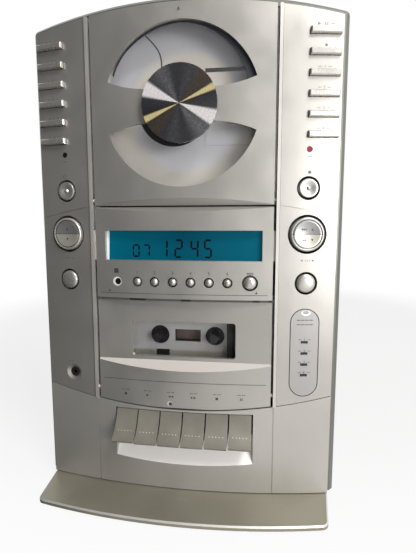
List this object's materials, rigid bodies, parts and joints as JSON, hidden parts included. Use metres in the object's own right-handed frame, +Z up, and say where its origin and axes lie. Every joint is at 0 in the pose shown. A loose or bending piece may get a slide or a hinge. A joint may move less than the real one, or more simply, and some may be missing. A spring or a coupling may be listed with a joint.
{
  "type": "vertical cd player",
  "caption": "Upright tabletop stereo with a bowed front, a windowed disc door, radio display, cassette door with piano keys, side buttons, rockers and a wide foot.",
  "frame": {"origin": "middle of the footprint, on the surface the feet stand on", "axes": "+Z up, +X to the viewer's right, the bowed front faces -Y"},
  "size_m": [0.2206, 0.128, 0.3495],
  "materials": {
    "silver_plastic": "silver metallic paint, satin",
    "silver_button": "silver paint, semi-gloss",
    "key_plastic": "warm silver-grey, semi-gloss",
    "well_plastic": "silver-grey, satin",
    "base_plastic": "olive grey, satin",
    "cabinet_plastic": "dark grey, fine texture",
    "black_plastic": "black, satin",
    "spun_aluminium": "spun, bright",
    "clear_window": "clear acrylic, lightly smoked",
    "tape_window": "clear acrylic, smoked",
    "display_glass": "teal backlit liquid crystal",
    "lamp_lens": "dark red and black lenses",
    "steel": "bright steel",
    "rubber": "black rubber"
  },
  "bodies": {
    "chassis": {"base_plinth": "base_plastic", "rubber_feet": "rubber", "front_frame": "silver_plastic", "left_wing": "silver_plastic", "right_wing": "silver_plastic", "equalizer_panel": "silver_plastic", "lamps_and_sensor": "lamp_lens", "lower_panel": "silver_plastic", "display_panel": "silver_plastic", "lcd_module": "display_glass", "cd_well": "well_plastic", "cd_mechanism": "black_plastic", "tape_deck": "well_plastic", "headphone_jack": "black_plastic", "rear_cabinet": "cabinet_plastic", "case_screws": "steel", "main_board": "black_plastic"},
    "disc_door": {"cd_door": "silver_plastic", "cd_windows": "clear_window"},
    "clamp_hub": {"hub_disc": "spun_aluminium"},
    "turntable": {"turntable": "black_plastic"},
    "pickup": {"pickup": "black_plastic"},
    "cassette_door": {"cassette_door": "silver_plastic", "cassette_pane": "tape_window"},
    "left_reel": {"left_reel_spindle": "black_plastic"},
    "right_reel": {"right_reel_spindle": "black_plastic"},
    "capstan": {"capstan": "steel"},
    "head_bridge": {"tape_head": "steel"},
    "pinch_roller": {"pinch_roller": "rubber"},
    "record_key": {"record_key": "key_plastic"},
    "play_key": {"play_key": "key_plastic"},
    "rewind_key": {"rewind_key": "key_plastic"},
    "forward_key": {"forward_key": "key_plastic"},
    "stop_key": {"stop_key": "key_plastic"},
    "pause_key": {"pause_key": "key_plastic"},
    "left_bar_1": {"left_bar_1": "silver_button"},
    "left_bar_2": {"left_bar_2": "silver_button"},
    "left_bar_3": {"left_bar_3": "silver_button"},
    "left_bar_4": {"left_bar_4": "silver_button"},
    "left_bar_5": {"left_bar_5": "silver_button"},
    "left_bar_6": {"left_bar_6": "silver_button"},
    "left_round_button": {"left_round_button": "silver_button"},
    "left_rocker": {"left_rocker": "silver_button"},
    "right_bar_1": {"right_bar_1": "silver_button"},
    "right_bar_2": {"right_bar_2": "silver_button"},
    "right_bar_3": {"right_bar_3": "silver_button"},
    "right_bar_4": {"right_bar_4": "silver_button"},
    "right_bar_5": {"right_bar_5": "silver_button"},
    "right_bar_6": {"right_bar_6": "silver_button"},
    "right_round_button": {"right_round_button": "silver_button"},
    "right_rocker": {"right_rocker": "silver_button"},
    "power_button": {"power_button": "silver_button"},
    "sleep_button": {"sleep_button": "silver_button"},
    "preset_button_1": {"preset_button_1": "silver_button"},
    "preset_button_2": {"preset_button_2": "silver_button"},
    "preset_button_3": {"preset_button_3": "silver_button"},
    "preset_button_4": {"preset_button_4": "silver_button"},
    "preset_button_5": {"preset_button_5": "silver_button"},
    "preset_button_6": {"preset_button_6": "silver_button"},
    "mode_button": {"mode_button": "silver_button"}
  },
  "joints": [
    {"name": "disc_door_hinge", "type": "hinge", "parent": "chassis", "child": "disc_door", "pos_m": [0, -0.0227, 0.2174], "axis": [1, 0, 0], "range_deg": [0, 55]},
    {"name": "clamp_hub_spin", "type": "hinge", "parent": "disc_door", "child": "clamp_hub", "pos_m": [0, -0.0292, 0.2799], "axis": [0, 1, 0], "continuous": true},
    {"name": "turntable_spin", "type": "hinge", "parent": "chassis", "child": "turntable", "pos_m": [0, -0.0142, 0.2799], "axis": [0, 1, 0], "continuous": true},
    {"name": "pickup_slide", "type": "slide", "parent": "chassis", "child": "pickup", "axis": [1, 0, 0], "range_m": [0, 0.035]},
    {"name": "cassette_door_hinge", "type": "hinge", "parent": "chassis", "child": "cassette_door", "pos_m": [0, -0.0237, 0.0792], "axis": [1, 0, 0], "range_deg": [0, 28]},
    {"name": "left_reel_spin", "type": "hinge", "parent": "chassis", "child": "left_reel", "pos_m": [-0.02125, -0.0092, 0.1167], "axis": [0, 1, 0], "continuous": true},
    {"name": "right_reel_spin", "type": "hinge", "parent": "chassis", "child": "right_reel", "pos_m": [0.02125, -0.0092, 0.1167], "axis": [0, 1, 0], "continuous": true},
    {"name": "capstan_spin", "type": "hinge", "parent": "chassis", "child": "capstan", "pos_m": [0.0205, 0.0008, 0.0922], "axis": [0, 1, 0], "continuous": true},
    {"name": "head_bridge_slide", "type": "slide", "parent": "chassis", "child": "head_bridge", "axis": [0, 0, 1], "range_m": [0, 0.0044]},
    {"name": "pinch_roller_spin", "type": "hinge", "parent": "head_bridge", "child": "pinch_roller", "pos_m": [0.0205, -0.0136, 0.0812], "axis": [0, 1, 0], "continuous": true},
    {"name": "record_key_hinge", "type": "hinge", "parent": "chassis", "child": "record_key", "pos_m": [0, 0.0008, 0.0542], "axis": [1, 0, 0], "range_deg": [0, 11], "stiffness_Nm_per_rad": 0.2, "springref_deg": -5.73},
    {"name": "play_key_hinge", "type": "hinge", "parent": "chassis", "child": "play_key", "pos_m": [0, 0.0008, 0.0542], "axis": [1, 0, 0], "range_deg": [0, 11], "stiffness_Nm_per_rad": 0.2, "springref_deg": -5.73},
    {"name": "rewind_key_hinge", "type": "hinge", "parent": "chassis", "child": "rewind_key", "pos_m": [0, 0.0008, 0.0542], "axis": [1, 0, 0], "range_deg": [0, 11], "stiffness_Nm_per_rad": 0.2, "springref_deg": -5.73},
    {"name": "forward_key_hinge", "type": "hinge", "parent": "chassis", "child": "forward_key", "pos_m": [0, 0.0008, 0.0542], "axis": [1, 0, 0], "range_deg": [0, 11], "stiffness_Nm_per_rad": 0.2, "springref_deg": -5.73},
    {"name": "stop_key_hinge", "type": "hinge", "parent": "chassis", "child": "stop_key", "pos_m": [0, 0.0008, 0.0542], "axis": [1, 0, 0], "range_deg": [0, 11], "stiffness_Nm_per_rad": 0.2, "springref_deg": -5.73},
    {"name": "pause_key_hinge", "type": "hinge", "parent": "chassis", "child": "pause_key", "pos_m": [0, 0.0008, 0.0542], "axis": [1, 0, 0], "range_deg": [0, 11], "stiffness_Nm_per_rad": 0.2, "springref_deg": -5.73},
    {"name": "left_bar_1_press", "type": "slide", "parent": "chassis", "child": "left_bar_1", "axis": [0.1748, 0.9846, 0], "range_m": [0, 0.0012], "stiffness_N_per_m": 300, "springref_m": -0.002},
    {"name": "left_bar_2_press", "type": "slide", "parent": "chassis", "child": "left_bar_2", "axis": [0.1748, 0.9846, 0], "range_m": [0, 0.0012], "stiffness_N_per_m": 300, "springref_m": -0.002},
    {"name": "left_bar_3_press", "type": "slide", "parent": "chassis", "child": "left_bar_3", "axis": [0.1748, 0.9846, 0], "range_m": [0, 0.0012], "stiffness_N_per_m": 300, "springref_m": -0.002},
    {"name": "left_bar_4_press", "type": "slide", "parent": "chassis", "child": "left_bar_4", "axis": [0.1748, 0.9846, 0], "range_m": [0, 0.0012], "stiffness_N_per_m": 300, "springref_m": -0.002},
    {"name": "left_bar_5_press", "type": "slide", "parent": "chassis", "child": "left_bar_5", "axis": [0.1748, 0.9846, 0], "range_m": [0, 0.0012], "stiffness_N_per_m": 300, "springref_m": -0.002},
    {"name": "left_bar_6_press", "type": "slide", "parent": "chassis", "child": "left_bar_6", "axis": [0.1748, 0.9846, 0], "range_m": [0, 0.0012], "stiffness_N_per_m": 300, "springref_m": -0.002},
    {"name": "left_round_button_press", "type": "slide", "parent": "chassis", "child": "left_round_button", "axis": [0.1593, 0.9872, 0], "range_m": [0, 0.0012], "stiffness_N_per_m": 300, "springref_m": -0.002},
    {"name": "left_rocker_tilt", "type": "hinge", "parent": "chassis", "child": "left_rocker", "pos_m": [-0.08532, -0.01806, 0.1939], "axis": [0.9872, -0.1593, 0], "range_deg": [-4, 4], "stiffness_Nm_per_rad": 0.05},
    {"name": "right_bar_1_press", "type": "slide", "parent": "chassis", "child": "right_bar_1", "axis": [-0.1748, 0.9846, 0], "range_m": [0, 0.0012], "stiffness_N_per_m": 300, "springref_m": -0.002},
    {"name": "right_bar_2_press", "type": "slide", "parent": "chassis", "child": "right_bar_2", "axis": [-0.1748, 0.9846, 0], "range_m": [0, 0.0012], "stiffness_N_per_m": 300, "springref_m": -0.002},
    {"name": "right_bar_3_press", "type": "slide", "parent": "chassis", "child": "right_bar_3", "axis": [-0.1748, 0.9846, 0], "range_m": [0, 0.0012], "stiffness_N_per_m": 300, "springref_m": -0.002},
    {"name": "right_bar_4_press", "type": "slide", "parent": "chassis", "child": "right_bar_4", "axis": [-0.1748, 0.9846, 0], "range_m": [0, 0.0012], "stiffness_N_per_m": 300, "springref_m": -0.002},
    {"name": "right_bar_5_press", "type": "slide", "parent": "chassis", "child": "right_bar_5", "axis": [-0.1748, 0.9846, 0], "range_m": [0, 0.0012], "stiffness_N_per_m": 300, "springref_m": -0.002},
    {"name": "right_bar_6_press", "type": "slide", "parent": "chassis", "child": "right_bar_6", "axis": [-0.1748, 0.9846, 0], "range_m": [0, 0.0012], "stiffness_N_per_m": 300, "springref_m": -0.002},
    {"name": "right_round_button_press", "type": "slide", "parent": "chassis", "child": "right_round_button", "axis": [-0.1593, 0.9872, 0], "range_m": [0, 0.0012], "stiffness_N_per_m": 300, "springref_m": -0.002},
    {"name": "right_rocker_tilt", "type": "hinge", "parent": "chassis", "child": "right_rocker", "pos_m": [0.08532, -0.01806, 0.1939], "axis": [0.9872, 0.1593, 0], "range_deg": [-4, 4], "stiffness_Nm_per_rad": 0.05},
    {"name": "power_button_press", "type": "slide", "parent": "chassis", "child": "power_button", "axis": [0.1593, 0.9872, 0], "range_m": [0, 0.0012], "stiffness_N_per_m": 300, "springref_m": -0.002},
    {"name": "sleep_button_press", "type": "slide", "parent": "chassis", "child": "sleep_button", "axis": [-0.1593, 0.9872, 0], "range_m": [0, 0.0012], "stiffness_N_per_m": 300, "springref_m": -0.002},
    {"name": "preset_button_1_press", "type": "slide", "parent": "chassis", "child": "preset_button_1", "axis": [0.0596, 0.9982, 0], "range_m": [0, 0.001], "stiffness_N_per_m": 300, "springref_m": -0.002},
    {"name": "preset_button_2_press", "type": "slide", "parent": "chassis", "child": "preset_button_2", "axis": [0.0361, 0.9993, 0], "range_m": [0, 0.001], "stiffness_N_per_m": 300, "springref_m": -0.002},
    {"name": "preset_button_3_press", "type": "slide", "parent": "chassis", "child": "preset_button_3", "axis": [0.0119, 0.9999, 0], "range_m": [0, 0.001], "stiffness_N_per_m": 300, "springref_m": -0.002},
    {"name": "preset_button_4_press", "type": "slide", "parent": "chassis", "child": "preset_button_4", "axis": [-0.0119, 0.9999, 0], "range_m": [0, 0.001], "stiffness_N_per_m": 300, "springref_m": -0.002},
    {"name": "preset_button_5_press", "type": "slide", "parent": "chassis", "child": "preset_button_5", "axis": [-0.0357, 0.9994, 0], "range_m": [0, 0.001], "stiffness_N_per_m": 300, "springref_m": -0.002},
    {"name": "preset_button_6_press", "type": "slide", "parent": "chassis", "child": "preset_button_6", "axis": [-0.0596, 0.9982, 0], "range_m": [0, 0.001], "stiffness_N_per_m": 300, "springref_m": -0.002},
    {"name": "mode_button_press", "type": "slide", "parent": "chassis", "child": "mode_button", "axis": [-0.0885, 0.9961, 0], "range_m": [0, 0.001], "stiffness_N_per_m": 300, "springref_m": -0.002}
  ],
  "couplings": [
    {"joint": "play_key_hinge", "follows": "head_bridge_slide", "rad_per_m": 43.4}
  ]
}
